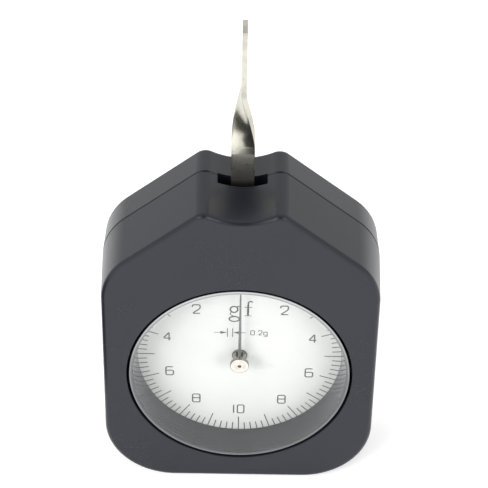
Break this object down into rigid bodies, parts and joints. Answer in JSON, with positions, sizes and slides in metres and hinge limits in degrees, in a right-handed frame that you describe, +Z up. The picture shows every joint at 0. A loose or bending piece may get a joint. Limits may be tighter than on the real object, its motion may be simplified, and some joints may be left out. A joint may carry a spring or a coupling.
{
  "type": "dial tension gauge",
  "caption": "Pocket dial tension gauge: a twisted steel lever swings in a two-piece case, and a sector gear turns a pointer over a round dial.",
  "frame": {"origin": "middle of the flat bottom of the case, halfway between its front and rear faces", "axes": "+Z up along the lever, +X to the right as the dial is read; the dial faces -Y"},
  "size_m": [0.061, 0.024, 0.1137],
  "materials": {
    "case_plastic": "dark grey moulded plastic, satin",
    "crystal_acrylic": "clear polished acrylic",
    "dial_enamel": "white, satin",
    "pointer_lacquer": "dark grey lacquer",
    "bright_nickel": "bright nickel, polished",
    "polished_steel": "ground steel",
    "brass": "plain turned and stamped brass",
    "spring_steel": "blued spring steel",
    "screw_zinc": "zinc-plated steel"
  },
  "bodies": {
    "case": {"front_case": "case_plastic", "rear_cover": "case_plastic", "cover_screw_upper_left": "screw_zinc", "cover_screw_upper_right": "screw_zinc", "cover_screw_lower_left": "screw_zinc", "cover_screw_lower_right": "screw_zinc", "crystal": "crystal_acrylic", "dial_plate": "dial_enamel", "dial_collar": "bright_nickel", "pointer_bush_rear": "bright_nickel", "hairspring": "spring_steel", "hairspring_stud": "brass", "chassis_plate": "brass", "chassis_screw_upper_left": "screw_zinc", "chassis_screw_upper_right": "screw_zinc", "chassis_screw_lower_left": "screw_zinc", "chassis_screw_lower_right": "screw_zinc", "bridge_plate": "brass", "pillar_upper_left": "brass", "pillar_upper_right": "brass", "pillar_lower_left": "brass", "pillar_lower_right": "brass", "pillar_screw_upper_left": "screw_zinc", "pillar_screw_upper_right": "screw_zinc", "pillar_screw_lower_left": "screw_zinc", "pillar_screw_lower_right": "screw_zinc", "lever_bush_front": "bright_nickel", "lever_bush_rear": "bright_nickel", "stop_pin_left": "polished_steel", "stop_pin_right": "polished_steel", "measuring_spring": "spring_steel", "measuring_spring_stud": "brass"},
    "lever": {"lever_blade": "polished_steel", "lever_arm": "brass", "lever_arbor": "polished_steel", "sector_gear": "brass", "drive_pin": "polished_steel", "clamp_screw_lower": "screw_zinc", "clamp_screw_upper": "screw_zinc", "measuring_spring_collet": "brass"},
    "pointer": {"pointer": "pointer_lacquer", "pointer_hub": "bright_nickel", "pointer_arbor": "polished_steel", "pinion": "brass", "hairspring_collet": "brass"}
  },
  "joints": [
    {"name": "lever_swing", "type": "hinge", "parent": "case", "child": "lever", "pos_m": [0, 0.0018, 0.0634], "axis": [0, 1, 0], "range_deg": [-10.8, 10.8], "stiffness_Nm_per_rad": 0.027, "deforming": ["measuring_spring"]},
    {"name": "pointer_turn", "type": "hinge", "parent": "case", "child": "pointer", "pos_m": [0, -0.004, 0.031], "axis": [0, 1, 0], "range_deg": [-184, 184], "deforming": ["hairspring"]}
  ],
  "couplings": [
    {"joint": "pointer_turn", "follows": "lever_swing", "ratio": -17}
  ]
}
